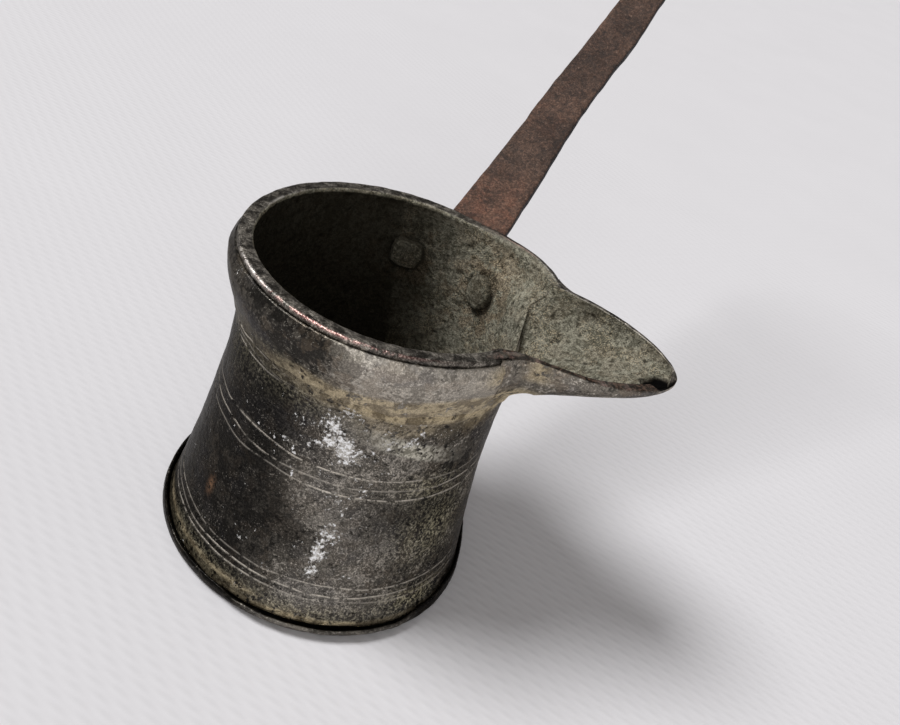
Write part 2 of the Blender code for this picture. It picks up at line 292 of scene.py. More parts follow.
def near_rivets(degrees, height, inner, outer):
    """1 within inner millimetres of an inner rivet head's middle, 0 beyond outer."""
    share = np.zeros(np.broadcast(degrees, height).shape)
    for side, tallness in ((-1, 1.3), (1, 1.0)):
        middle = math.degrees(HANDLE_AZIMUTH + side * RIVET_SPREAD)
        across = np.radians(turn_between(degrees, middle)) * NECK_RADIUS
        distance = np.hypot(across, (height - RIVET_HEIGHT) / tallness)
        share = np.maximum(share, step(outer, inner, distance))
    return share


def foot_shrink(azimuth, height):
    """The foot is out of round: it flares less on the spout's side."""
    most = 3.3
    gone_by = 64
    return most * np.clip(1 - height / gone_by, 0, 1) * facing(np.degrees(azimuth), 14, 46)


def inner_crust(place):
    """Relief of the deposit that covers the whole inside, the spout's too."""
    return layered(place, (0.16, 2.6, 11), (0.13, 1.1, 12, 2), (0.12, 7.5, 13))


def scribed(height, azimuth):
    """Where the scribed lines run, 0 to 1. They waver, and each one stops and starts again somewhere."""
    depth = np.zeros(np.broadcast(height, azimuth).shape)
    degrees = np.degrees(azimuth)
    for group, levels in enumerate(LINE_GROUPS):
        for line, level in enumerate(levels):
            phase = group * 2.1 + line * 1.3
            waver = 0.16 * np.sin(azimuth * 3 + phase) + 0.07 * np.sin(azimuth * 11 + phase * 2)
            restart = turn_between(degrees, -128 + 9 * line + 40 * (group == 2))
            waver = waver + 0.5 * step(-10, 0, restart) * step(34, 0, restart) * (-1) ** line
            strength = 0.45 + 0.55 * step(-0.6, 0.3, np.sin(azimuth * 2.3 + phase * 1.7))
            strength = strength * (1 - hill(0, 2.0, restart))
            if group == 0:
                strength = strength * (0.15 + 0.85 * step(60, 20, np.abs(turn_between(degrees, 200))))
            depth = np.maximum(depth, strength * hill(level + waver, 0.15, height))
    return depth


def body_section():
    """The sheet's section as columns of radius, height and kind: 0 outside, 1 on the lip, 2 inside."""
    plain = np.arange(FOOT, HEIGHT - LIP_THICKNESS, 0.55 / FINE)
    close = [np.arange(level - 0.75, level + 0.76, 0.15 / FINE) for group in LINE_GROUPS for level in group]
    outer = np.unique(np.round(np.concatenate([plain] + close), 3))
    outer = outer[np.concatenate([[True], np.diff(outer) > 0.1])]
    edge = MOUTH_RADIUS
    bore = MOUTH_RADIUS - LIP_WIDTH
    lip = [(edge - 1.5, HEIGHT - 1.5), (edge - 0.6, HEIGHT - 1.48), (edge - 0.2, HEIGHT - 1.4)]
    lip += [(edge - 0.03, HEIGHT - 1.2), (edge, HEIGHT - 0.85), (edge, HEIGHT - 0.5)]
    lip += [(edge - 0.08, HEIGHT - 0.25), (edge - 0.25, HEIGHT - 0.1), (edge - 0.5, HEIGHT - 0.03)]
    lip += [(edge - 0.8 - 0.3 * n, HEIGHT) for n in range(7)]
    lip += [(bore + 0.28, HEIGHT - 0.04), (bore + 0.08, HEIGHT - 0.15), (bore - 0.04, HEIGHT - 0.35)]
    lip += [(bore - 0.09, HEIGHT - 0.6)]
    inner = np.arange(HEIGHT - 1.1, 2.0, -0.7 / FINE)
    radius = np.concatenate([wall_radius(outer), [r for r, _ in lip], wall_radius(inner) - WALL])
    height = np.concatenate([outer, [z for _, z in lip], inner])
    kind = np.repeat([0, 1, 2], [len(outer), len(lip), len(inner)])
    return radius[:, None], height[:, None], kind[:, None]


def body_azimuth(radius, height, kind, columns):
    """Each row's azimuths, which leave out the spout's notch, and how far in from the notch each one is."""
    far_radius = radius + DRAW * step(DRAW_BOTTOM, DRAW_TOP, height)
    near = notch_azimuth(height, SPOUT_SHEET, INNER_FILLET, radius)
    far = notch_azimuth(height, SPOUT_SHEET, INNER_FILLET, far_radius)
    lip_end = 17.1 - 0.9 * step(30.4, 33.0, radius)
    near = np.where(kind == 1, np.arcsin(lip_end / radius), near)
    far = np.where(kind == 1, np.arcsin(lip_end / (radius + DRAW)), far)
    notched = near > 0.005
    whole_turn = np.pi * 2 * np.where(notched, 1, 1 - 1 / columns)
    share = np.arange(columns)[None, :] / (columns - 1)
    azimuth = far + (whole_turn - near - far) * share
    by_notch = step(0.02, 0.2, azimuth - far) * step(0.02, 0.2, whole_turn - near - azimuth)
    return azimuth, notched, np.where(notched, by_notch, 1.0)


def lip_masks(radius, height, degrees):
    """What the material needs to know about the lip: its worn edges, a painted highlight along its outer edge
    at the front left, and the crust that creeps on to it.
    """
    far_lip = facing(degrees, 42, 22)
    edge_out = hill(33.3, 0.22, radius) * step(71.8, 72.3, height)
    edge_in = hill(30.5, 0.3, radius)
    far_line = hill(32.1, 0.25, radius)
    # Worn edges of the lip, and a painted highlight along the outer edge at the front left, about -133
    # degrees.
    rub = edge_out * facing(degrees, -133, 11) + 0.9 * edge_in * facing(degrees, 167, 9)
    return {
        "inside": np.maximum(step(30.7, 30.3, radius), 0.9 * far_lip * step(32.6, 31.8, radius)),
        "lip": step(71.2, 72.2, height),
        "copper": edge_out * facing(degrees, -98, 26) + far_line * facing(degrees, 52, 9),
        "rub": rub + 0.8 * far_line * facing(degrees, 36, 8),
    }


def build_body(material):
    """The wall from the foot to the lip, the turned lip, and the crusted inside, as one closed sheet."""
    columns = int(310 * FINE)
    radius, height, kind = body_section()
    azimuth, notched, by_notch = body_azimuth(radius, height, kind, columns)
    place = around(radius + 0 * azimuth, azimuth, height)
    degrees = np.degrees(azimuth)
    groove = np.where(kind == 0, scribed(height, azimuth), 0)
    dents = layered(place, (0.16, 11, 3), (0.07, 4.5, 4), (0.04, 1.6, 5))
    braze = step(52.8, 56.8, height) * (0.25 + 0.45 * step(100, 30, np.abs(turn_between(degrees, -45))))
    outside = dents + braze * (1 + 0.5 * bumps(place, 3.0, 8)) - 0.2 * groove
    pits = step(0.5, 0.85, bumps(place, 1.5, 14, 2)) * step(-0.3, 0.4, bumps(place, 9, 15))
    nicks = step(0.45, 0.7, bumps(place, 2.2, 23)) * step(0.1, 0.4, bumps(place, 9, 24))
    rim = layered(place, (0.1, 14, 21), (0.06, 2.5, 22)) - 0.16 * nicks * step(32.6, 33.4, radius)
    moat = near_rivets(degrees, height, 4.0, 4.9) * step(-0.5, 0.1, bumps(place, 2.6, 17))
    rough_zone = near_rivets(degrees, height, 5.0, 13.0)
    grit = 0.28 * rough_zone * bumps(place, 1.5, 16, 2)
    inside = (0.3 * pits + 0.45 * moat - inner_crust(place) - grit) * by_notch + 0.05
    full = radius + np.choose(kind, (outside, rim, inside))
    full = full + drawn(azimuth, height) - foot_shrink(azimuth, height)
    lip_lift = layered(place, (0.07, 8, 31), (0.06, 1.5, 32)) - 0.1 * nicks
    foot_lift = step(3.6, 1.2, height) * (0.5 + layered(place, (0.6, 8, 33), (0.25, 2.5, 34)))
    lift = np.choose(kind, (np.clip(foot_lift, 0, None), lip_lift, 0))
    masks = {
        "inside": kind == 2,
        "groove": groove,
        # Pits in the crust, and a ring of painted shade in the moat round each inner rivet head.
        "pits": np.where(kind == 2, np.maximum(pits, 0.75 * moat), 0),
        "tan_crust": np.where(kind == 2, rough_zone, 0),
        # Inside, painted shade over burnt coffee: the lip's cast shadow, and darker towards the bottom.
        "soot_and_shade": np.where(kind == 2, soot_and_shade(height, degrees), 0),
    }
    for name, mask in lip_masks(radius, height, degrees).items():
        masks[name] = np.where(kind == 1, mask, masks.get(name, 0))
    for name, mask in outer_marks(height, degrees).items():
        masks[name] = np.where(kind == 0, mask, 0)
    open_row = np.zeros(azimuth.shape, bool)
    open_row[:, -1] = np.ravel(notched)
    points = around(full, azimuth, height + lift)
    body = grid_piece("body", "body_shell", points, material, masks, True, True, open_row)
    close_holes(body)
    return body


def soot_and_shade(height, degrees):
    """Inside the bowl, painted shade over burnt coffee: the lip's cast shadow, black on the side away from
    the spout and thinning towards it, and darker towards the bottom.
    """
    edge = 101 - 0.25 * (HEIGHT - height)
    off = np.abs(turn_between(degrees, 0))
    thinning = 0.9 * step(52, 98, off) * step(20, 50, height + 0.2 * off)
    return np.maximum(np.maximum(step(edge - 6, edge + 5, off), thinning), step(24, 8, height))


def outer_marks(height, degrees):
    """Where the body's outside carries each kind of mark, and its painted sheen, shade and highlight, from 0
    to 1.
    """

    def spots(*places):
        """Soft spots added up. Each is its strength, direction, half width, level and half height."""
        total = 0
        for strength, centre, half_width, level, half_height in places:
            total = total + strength * facing(degrees, centre, half_width) * hill(level, half_height, height)
        return total

    turned = turn_between(degrees, 0)
    right = step(100, 50, np.abs(turn_between(degrees, -20)))
    tan = hill(57.0, 1.9, height) * (0.1 + 0.9 * right)
    tan = tan + spots((0.8, -30, 9, 53.5, 2.0), (0.55, -62, 16, 53.5, 2.5), (0.6, -82, 8, 2.6, 1.8))
    foot = step(3.6, 2.4, height) * (0.3 + 0.6 * facing(degrees, -72, 36))
    foot = foot + 0.75 * hill(4.3, 0.8, height) * step(-170, -145, turned) * step(-88, -104, turned)
    # Flakes of bared tin near the front, and a painted highlight that runs down the front at about -80
    # degrees, broken into specks.
    white_flakes_and_highlight = spots((0.5, -84, 4, 55, 2.0), (0.5, -90, 4, 50.3, 2.4), (0.5, -78, 6, 45.0, 2.0))
    white_flakes_and_highlight = white_flakes_and_highlight + spots((0.5, -84, 4, 47.5, 1.8), (0.5, -82, 15, 48.5, 7), (0.5, -79.5, 3, 20, 9))
    white_flakes_and_highlight = white_flakes_and_highlight + spots((0.35, -78, 9, 20, 12), (0.35, -70, 14, 36, 8), (0.4, -55, 16, 50, 4))
    white_flakes_and_highlight = white_flakes_and_highlight + spots((0.3, -100, 14, 40, 8))
    drip = height - 48.2 + 0.13 * turn_between(degrees, -57)
    ledge = step(-2.2, -1.6, drip) * step(2.6, 1.2, drip) * facing(degrees, -57, 15)
    # Painted sheen, lighter on the front of the body, with patches of it lower down and at the foot.
    pale = 0.8 * facing(degrees, -74, 26)
    pale = pale + spots((0.5, -95, 10, 34, 5), (0.5, -82, 8, 30, 10), (0.6, -70, 30, 3, 4))
    # Painted shade on the left flank and round the back; the spots add dark patches of the tin.
    shade_and_patches = np.maximum(0.9 * step(-82, -112, turned), facing(degrees, -165, 50))
    shade_and_patches = shade_and_patches + spots((0.8, -105, 9, 28, 6), (0.8, -88, 8, 21.5, 5.5), (0.7, -120, 11, 46, 7))
    shade_and_patches = shade_and_patches + spots((0.4, -60, 20, 31, 5), (0.45, -38, 18, 32, 10))
    olive = spots((0.8, -36, 14, 26, 8), (1, -38, 13, 6.5, 2.8), (0.6, -112, 22, 54, 3.0))
    olive = olive + spots((0.6, -45, 12, 38, 3), (0.7, -75, 25, 3.6, 2.5), (1, -125, 25, 4.0, 3.0))
    olive = olive + spots((0.35, -140, 20, 52, 6))
    return {
        "tan": np.clip(tan + foot, 0, 1),
        "flake": np.clip(white_flakes_and_highlight, 0, 1),
        "chalk": ledge,
        "pale": np.clip(pale, 0, 1),
        "shade": np.clip(shade_and_patches, 0, 1),
        "olive": np.clip(olive, 0, 1),
        "rust": spots((1, -128.5, 1.6, 19.6, 2.0)),
    }


def build_collar(material):
    """The bulged band, whose lower edge is torn and smeared into the neck."""
    columns = int(360 * FINE)
    rows = int(60 * FINE)
    back_rows = 8
    share = np.concatenate([np.linspace(0, 1, rows), np.linspace(1, 0, back_rows)])[:, None]
    outward = np.repeat([1.0, 0.0], [rows, back_rows])[:, None]
    level = COLLAR_BOTTOM + (COLLAR_TOP - COLLAR_BOTTOM) * share
    front = collar_radius(share)
    behind = np.maximum(front - COLLAR_SHEET, wall_radius(level) + 0.1)
    radius = np.where(outward > 0, front, behind)
    lowest = float(spout_brim(SPOUT_ROOT) - spout_depth(SPOUT_ROOT)) - FILLET_SHARE * OUTER_FILLET
    beside = np.maximum(level, lowest)
    near = notch_azimuth(beside, 0, OUTER_FILLET, radius)
    far = notch_azimuth(beside, 0, OUTER_FILLET, radius + DRAW * step(DRAW_BOTTOM, DRAW_TOP, level))
    azimuth = far + (2 * np.pi - near - far) * np.arange(columns)[None, :] / (columns - 1)
    place = around(radius + 0 * azimuth, azimuth, level)
    degrees = np.degrees(azimuth)
    torn = layered(place, (0.55, 6, 41), (0.3, 1.8, 42)) * step(0.3, 0, share)
    height = level + torn + 0.12 * step(0.9, 1, share) * facing(degrees, -48, 32)
    lumps = layered(place, (0.16, 9, 43), (0.08, 3, 44), (0.05, 1.2, 45))
    slump = 0.22 * bumps(place, 3.4, 46) * step(0.45, 0, share)
    curl = -0.5 * step(0.06, 0, share)
    full = radius + (lumps + slump + curl) * outward + drawn(azimuth, level)
    turned = turn_between(degrees, 0)
    right = step(105, 60, np.abs(turn_between(degrees, -25)))
    reach = 0.36 + 0.14 * facing(degrees, -38, 22) + 0.14 * bumps(place, 7, 47)
    smear = step(reach, reach - 0.14, share) * (0.1 + 0.75 * right)
    lump = 0.85 * facing(degrees, -36, 7) * hill(68.5, 2.6, level)
    # On the collar: painted shade on the left and at the back, painted sheen on the front.
    masks = {
        "tan": np.clip(smear + lump, 0, 1),
        "shade": 0.85 * step(-78, -116, turned) + 0.6 * step(150, 175, turned),
        "pale": step(-100, -74, turned) * step(20, -25, turned),
        "olive": 0.5 * facing(degrees, -115, 25) * step(0.5, 0.2, share),
    }
    masks = {name: mask * outward for name, mask in masks.items()}
    points = around(full, azimuth, height)
    collar = grid_piece("collar", "rim_collar", points, material, masks, wrap_rows=True)
    close_holes(collar)
    return collar


def rooted_sheet(around_u, stations, inset, fillet, root_radius, root_rows):
    """One face of the spout: a quarter-round fillet that lies on a wall, then the U out to the tip."""
    reach = np.full(around_u.shape, SPOUT_ROOT)
    for _ in range(6):
        across, height = spout_section(reach, around_u, inset)
        reach = root_radius(across, reach, height) + fillet
    across_flat, height_flat = spout_section(reach + 0.01, around_u, inset)
    slope_y = np.gradient(across_flat)
    slope_z = np.gradient(height_flat)
    length = np.hypot(slope_y, slope_z)
    out_y, out_z = -slope_z / length, slope_y / length
    flip = np.where(out_y * across_flat + out_z * (height_flat - HEIGHT) < 0, -1, 1)
    out_y, out_z = out_y * flip, np.minimum(out_z * flip, 0)
    rows = []
    for turn in np.linspace(np.pi / 2, 0, root_rows)[:-1]:
        across = across_flat + out_y * fillet * (1 - np.cos(turn))
        height = height_flat + out_z * fillet * (1 - np.cos(turn))
        foot = reach
        for _ in range(4):
            foot = root_radius(across, foot, height)
        rows.append(np.stack([foot + fillet * (1 - np.sin(turn)), across, height], axis=-1))
    tip = SPOUT_TIP - inset
    for share in stations:
        here = reach + (tip - reach) * share
        across, height = spout_section(np.minimum(here, SPOUT_TIP - 1e-6), around_u, inset)
        across = across * np.where(share >= 1, 0, 1)
        rows.append(np.stack([here, across, height], axis=-1))
    return np.array(rows)


def inner_wall(across, reach, height):
    """How far out the body's inside is, at this distance to the side of the spout's own line."""
    azimuth = np.arctan2(across, reach)
    radius = wall_radius(height) - WALL - 0.03 + drawn(azimuth, height)
    return np.sqrt(np.clip(radius**2 - across**2, 1, None))


def outer_wall(across, reach, height):
    """The same for the outside: the collar, and the body below it."""
    share = (height - COLLAR_BOTTOM) / (COLLAR_TOP - COLLAR_BOTTOM)
    neck = wall_radius(height) + COLLAR_EDGE * step(-0.35, 0, share)
    radius = np.where(share < 0, neck, collar_radius(np.clip(share, 0, 1)))
    radius = radius + drawn(np.arctan2(across, reach), height)
    return np.sqrt(np.clip(radius**2 - across**2, 1, None))


def spout_faces(around_u):
    """The beak's outer face, its crusted inner face, and how clear of the wall each row is, 0 to 1."""
    stations = 1 - (1 - np.linspace(0, 1, int(150 * FINE))) ** 1.5
    root_rows = 14
    outer = rooted_sheet(around_u, stations, 0.0, OUTER_FILLET, outer_wall, root_rows)
    inner = rooted_sheet(around_u, stations, SPOUT_SHEET, INNER_FILLET, inner_wall, root_rows)
    smoothed = step(0, 0.06, around_u) * step(1, 0.94, around_u)
    smoothed = smoothed * step(SPOUT_TIP, SPOUT_TIP - 3, inner[..., 0])
    outer = pushed(outer, layered(outer, (0.09, 6, 61), (0.05, 2, 62)) * smoothed)
    raised = step(0, 12, np.arange(len(outer)))
    inner = pushed(inner, inner_crust(inner) * smoothed * raised[:, None])
    thick_rim = 1.9 * step(40, 55, inner[..., 0]) * step(SPOUT_TIP, SPOUT_TIP - 4, inner[..., 0])
    inner[0, :, 0] += 0.45
    inner[..., 1] += thick_rim * step(0.55, 1, around_u)
    inner[..., 2] -= 1.1 * tip_hollow(inner)
    return outer, inner, raised


def spout_rim(first, last, raised):
    """Four rows of points that round off a rim between one face's edge and the other's."""
    rows = []
    for share in (0.12, 0.35, 0.65, 0.88):
        row = first + (last - first) * share
        row[:, 2] += 0.26 * math.sin(math.pi * share) ** 0.5 * raised - 0.12 * (1 - raised)
        rows.append(row)
    rim = np.stack(rows, axis=1)
    rim[..., 2] += 0.12 * bumps(rim, 2.2, 81)
    rim[..., 2] -= 0.55 * tip_hollow(rim)
    return rim


def spout_masks(ring, side):
    """Values for the spout's material. side is 0 on the outer face, 0.5 on the rims and 1 inside."""
    reach, across, height = ring[..., 0], ring[..., 1], ring[..., 2]
    outside = side == 0
    within = (side == 1).astype(float)
    rim = (side == 0.5).astype(float)
    near_rim = rim * (across < 0)
    half_width = spout_half_width(reach)
    from_far_rim = half_width - across - SPOUT_SHEET
    edge_width = SPOUT_SHEET + 2.6 * step(40, 55, reach) + 0.4 * bumps(ring, 2.5, 85)
    near_edge = step(edge_width + 0.4, edge_width, half_width + across) * within * (across < 0)
    # Painted black shade in the broken hollow at the tip.
    tip_hollow_shadow = tip_hollow(ring) * np.maximum(within, rim)
    root_tan = step(38, 34, reach + 1.5 * bumps(ring, 4, 82)) * step(66, 62, height + bumps(ring, 4, 83))
    corner_tan = 0.8 * hill(34, 2.2, reach) * (across < 0) * step(66.5, 69, height)
    copper = 0.5 * hill(46.5, 1.0, reach) + 0.3 * hill(51, 0.8, reach) + 0.4 * hill(32, 1.5, reach)
    copper = near_rim * copper
    pale_line = within * (across > 0) * hill(0.2, 0.3, from_far_rim)
    return {
        "inside": within * (1 - np.clip(near_edge + tip_hollow_shadow, 0, 1)),
        "dark": np.clip(0.9 * near_edge + tip_hollow_shadow + 0.9 * near_rim * (1 - copper), 0, 1),
        "black": tip_hollow_shadow,
        "tan": np.clip(root_tan + corner_tan, 0, 1) * outside,
        "copper": copper,
        "rub": np.clip(pale_line, 0, 1) * step(33, 37, reach) * step(56, 52, reach),
        "lip": rim,
        # Painted sheen on the near side of the spout's outer face.
        "pale": 0.25 * outside * step(58, 46, reach) * (across < 0),
        "soot_and_shade": within * (0.16 + 0.35 * hill(0, 1.6, from_far_rim) * step(36, 40, reach)),
        "pits": within * step(0.6, 0.9, bumps(ring, 1.4, 84, 2)),
    }


def build_spout(material):
    """The beak: an outer and an inner face joined by worn rims, both run out on to the brazed walls."""
    count = int(120 * FINE)
    even = np.linspace(0, 1, count)
    around_u = 0.6 * (1 - np.cos(np.pi * even)) / 2 + 0.4 * even
    outer, inner, raised = spout_faces(around_u)
    near_rim = spout_rim(outer[:, -1], inner[:, -1], raised)
    far_rim = spout_rim(inner[:, 0], outer[:, 0], raised)
    ring = np.concatenate([outer, near_rim, inner[:, ::-1], far_rim], axis=1)
    side = np.repeat([0, 0.5, 1, 0.5], [count, near_rim.shape[1], count, far_rim.shape[1]])[None, :]
    masks = spout_masks(ring, side)
    return grid_piece("spout", "pouring_spout", ring, material, masks, wrap_columns=True)


def tip_hollow(points):
    """The broken hollow just on the near side of the spout's tip, 0 to 1."""
    along = (points[..., 0] - 58.6) / 4.3
    across = (points[..., 1] + 3.2) / 3.9
    return step(1.1, 0.85, np.hypot(along, across) + 0.12 * bumps(points, 1.6, 86))


def build_lap(material):
    """The spout's near corner, hammered over on to the lip."""
    path = [(23.6, -22.0), (25.4, -20.3), (27.2, -18.7), (28.8, -17.6), (30.6, -16.9), (32.4, -16.5)]
    path = np.array(path)
    knots = np.linspace(0, 1, len(path))
    along = np.linspace(0, 1, 60)
    centre = np.stack([np.interp(along, knots, path[:, axis]) for axis in (0, 1)], axis=-1)
    for _ in range(30):
        centre[1:-1] = (centre[:-2] + 2 * centre[1:-1] + centre[2:]) / 4
    tangent = np.gradient(centre, axis=0)
    tangent /= np.linalg.norm(tangent, axis=1)[:, None]
    normal = np.stack([-tangent[:, 1], tangent[:, 0]], axis=-1)
    half = 0.35 + 0.45 * step(0, 0.25, along) * step(1.1, 0.7, along)
    top = HEIGHT + 0.32 * step(0, 0.2, along) * step(1.0, 0.6, along)
    turns = np.linspace(0, 2 * np.pi, 16, endpoint=False)
    side = np.sign(np.cos(turns)) * np.abs(np.cos(turns)) ** 0.5
    lift = np.sign(np.sin(turns)) * np.abs(np.sin(turns)) ** 0.5 * 0.3
    points = np.zeros((len(along), len(turns), 3))
    points[..., :2] = centre[:, None] + normal[:, None] * (side[None, :] * half[:, None])[..., None]
    points[..., 2] = top[:, None] - 0.1 + lift[None, :]
    points[..., 2] += 0.08 * bumps(points, 1.5, 91)
    points[0, :, :2] = centre[0]
    points[-1, :, :2] = centre[-1]
    masks = {"dark": 0.6, "copper": 0.6 * hill(0.32, 0.14, along)[:, None], "lip": 1.0}
    return grid_piece("spout_lap", None, points, material, masks, wrap_columns=True)


def build_base(material):
    """The disc, with its wavy turned-up edge that stands open along the near side."""
    columns = int(480 * FINE)
    azimuth = np.arange(columns)[None, :] / columns * 2 * np.pi
    degrees = np.degrees(azimuth)
    rim = BASE_RADIUS
    top = BASE_FLANGE
    outline = [(r, 0.0) for r in (0.01, 12, 24, 32, 36, rim - 1.4)]
    outline += [(rim - 0.8, 0.08), (rim - 0.35, 0.35), (rim - 0.1, 0.8), (rim, 1.3), (rim, 1.9)]
    outline += [(rim - 0.02, 2.5), (rim - 0.05, 3.0)]
    outline += [(rim - 0.1, top - 0.3), (rim - 0.25, top - 0.08), (rim - 0.45, top), (rim - 0.7, top - 0.1)]
    outline += [(rim - 0.82, top - 0.35), (rim - 0.85, 2.6), (rim - 0.85, 1.9), (rim - 1.0, 1.3)]
    outline += [(r, BASE_SHEET) for r in (rim - 1.5, 34, 30, 22, 12, 0.01)]
    radius = np.array([r for r, _ in outline])[:, None]
    height = np.array([z for _, z in outline])[:, None]
    place = around(radius + 0 * azimuth, azimuth, height)
    flange = step(rim - 2.2, rim - 0.9, radius)
    raised = step(0.6, 3.2, height)
    opening = step(36, 22, np.abs(turn_between(degrees, -68)))
    kink = facing(degrees, -101, 4)
    ring = around(30.0 + 0 * azimuth, azimuth, 0 * azimuth)
    spread = layered(ring, (0.4, 15, 101), (0.16, 5, 102)) + 0.8 * opening + 0.5 * facing(degrees, -128, 22)
    sink = layered(ring, (0.35, 9, 103), (0.2, 2.6, 104)) - 0.8 * opening - 0.8 * kink
    relief = layered(place, (0.05, 2.5, 105), (0.03, 0.9, 106))
    full = radius + flange * (spread * raised + relief)
    full = full - foot_shrink(azimuth, 0) * 1.08 * step(20, 34, radius)
    points = around(full, azimuth, height + sink * raised * flange)
    # The flange is painted lit where it stands open on the near side and painted shaded elsewhere, and
    # painted black shade fills the slit between it and the foot.
    gap_shadow = step(rim - 0.72, rim - 0.82, radius) * step(0.8, 1.1, height) * (0.25 + 0.7 * opening)
    masks = {"shade": 0.6 * flange * (1 - opening), "pale": 0.9 * opening * flange, "black": gap_shadow}
    return grid_piece("base", "base_disc", points, material, masks, wrap_columns=True)


# ---------------------------------------------------------------- handle and rivets


def handle_path(spacing):
    """Centre line, as run, radius, height and slope: palm, then bend, then strap."""
    turn = PALM_SLOPE - STRAP_SLOPE
    bend = STRAP_BEND_RADIUS * turn
    length = PALM_LENGTH + bend + STRAP_LENGTH
    run = np.linspace(0, length, int(length / spacing))
    slope = PALM_SLOPE - turn * np.clip((run - PALM_LENGTH) / bend, 0, 1)
    slope = slope + math.radians(1.2) * np.sin(run / 31) * step(20, 60, run)
    advance = np.diff(run, prepend=0)
    radius = PALM_START[0] + np.cumsum(advance * np.cos(slope))
    height = PALM_START[1] + np.cumsum(advance * np.sin(slope))
    return run, radius, height, slope


def handle_half_width(run):
    """Wide palm, quick shoulders, a taper that slows along the strap, then a round eye at the end."""
    shoulder = 1 / (1 + np.exp((run - 9.2) / 0.7))
    past_palm = np.clip(run - PALM_LENGTH, 0, None)
    strap = STRAP_WAIST_HALF_WIDTH + STRAP_ROOT_SPREAD * np.exp(-past_palm / STRAP_TAPER_RUN)
    corner = 1 - 0.28 * np.clip(1 - run / 2.2, 0, None) ** 2
    to_eye = (run[-1] - EYE_HALF_WIDTH - run) / EYE_HALF_WIDTH
    eye = EYE_HALF_WIDTH * np.sqrt(np.clip(1 - to_eye**2, 0.004, None))
    width = (strap + (PALM_HALF_WIDTH - strap) * shoulder) * corner
    return np.where(to_eye < 0, eye, np.maximum(width, eye))


def forged_section(count):
    """An even walk round a flat bar's section: (across, lift), each from -1 to 1, corners rounded."""
    turn = np.linspace(0, 2 * np.pi, 2001)
    across = np.sign(np.cos(turn)) * np.abs(np.cos(turn)) ** 0.16
    lift = np.sign(np.sin(turn)) * np.abs(np.sin(turn)) ** 0.32
    walked = np.concatenate([[0], np.cumsum(np.hypot(np.diff(across * 7), np.diff(lift * 1.3)))])
    even = np.linspace(0, walked[-1], count, endpoint=False)
    return np.interp(even, walked, across), np.interp(even, walked, lift)


def strap_edge(run, *layers):
    """Half of the strap's width, uneven along one edge past the palm."""
    edge = np.stack([run, 0 * run, 0 * run], axis=-1)
    return handle_half_width(run) + layered(edge, *layers) * step(8, 16, run)


def build_handle(material):
    """The forged strap: palm wrapped round the collar, bend, hammered bar and punched eye."""
    run, radius, height, slope = handle_path(0.8 / FINE)
    across, lift = forged_section(int(84 * FINE))
    wander = 0.25 * np.sin(run / 9.3 + 1) + 0.2 * np.sin(run / 23)
    left = strap_edge(run, (0.3, 13, 111), (0.12, 3, 112))
    right = strap_edge(run, (0.3, 15, 113), (0.12, 3, 114))
    thick = STRAP_THICKNESS / 2 * (1 + 0.12 * bumps(np.stack([run, 0 * run, 0 * run], axis=-1), 12, 115))
    side = np.where(across[None, :] > 0, left[:, None], right[:, None]) * across[None, :]
    side = side + (wander * step(14, 30, run) * step(run[-1], run[-1] - 30, run))[:, None]
    rise = thick[:, None] * lift[None, :]
    flat = np.stack([run[:, None] + 0 * side, side, rise], axis=-1)
    hammered = layered(flat, (0.14, 6.5, 121), (0.08, 2.4, 122), (0.05, 1.0, 123))
    rise = rise + hammered * np.sign(lift)[None, :] * step(0.2, 0.9, np.abs(lift))[None, :]
    out = radius[:, None] - rise * np.sin(slope)[:, None]
    up = height[:, None] + rise * np.cos(slope)[:, None]
    wrap = np.clip((18 - run) / 7, 0, 1)[:, None]
    angle = side / out
    x = out * (1 - wrap) + out * np.cos(angle) * wrap
    y = side * (1 - wrap) + out * np.sin(angle) * wrap
    cos, sin = math.cos(HANDLE_AZIMUTH), math.sin(HANDLE_AZIMUTH)
    points = np.stack([x * cos - y * sin, x * sin + y * cos, up], axis=-1)
    for end in (0, -1):
        points[end] = points[end] * 0.15 + points[end].mean(0) * 0.85
    root = step(70, 8, run) * 0.85 + 0.15 - 0.6 * hill(39, 9, run)
    masks = {
        "edge": step(0.75, 1.0, np.abs(across))[None, :] * step(0.85, 0.5, np.abs(lift))[None, :],
        "root": np.clip(root, 0, 1)[:, None],
    }
    handle = grid_piece("strap", "handle", points, material, masks, wrap_columns=True)
    close_holes(handle)
    drill_eye(handle, *(np.interp(run[-1] - EYE_HALF_WIDTH, run, values) for values in (radius, height)))
    return handle


def drill_eye(handle, radius, height):
    """Punches the slightly oval hanging hole, with its middle at radius and height."""
    turns = np.linspace(0, 2 * np.pi, 40, endpoint=False)
    hole = EYE_HOLE_RADIUS * (1 + 0.05 * np.sin(turns * 2 + 1))
    ring = np.stack([hole * np.cos(turns), hole * np.sin(turns)], axis=-1)
    count = len(turns)
    faces = [(n, (n + 1) % count, count + (n + 1) % count, count + n) for n in range(count)]
    faces += [tuple(range(count))[::-1], tuple(range(count, 2 * count))]
    punch = bpy.data.meshes.new("punch")
    punch.from_pydata([(x * MM, y * MM, z * MM) for z in (-6.0, 6.0) for x, y in ring], [], faces)
    place = Matrix.Rotation(HANDLE_AZIMUTH, 4, "Z") @ Matrix.Translation(Vector((radius, 0, height)) * MM)
    cut_through(handle, put_in_scene("punch", punch), place @ Matrix.Rotation(-STRAP_SLOPE, 4, "Y"))


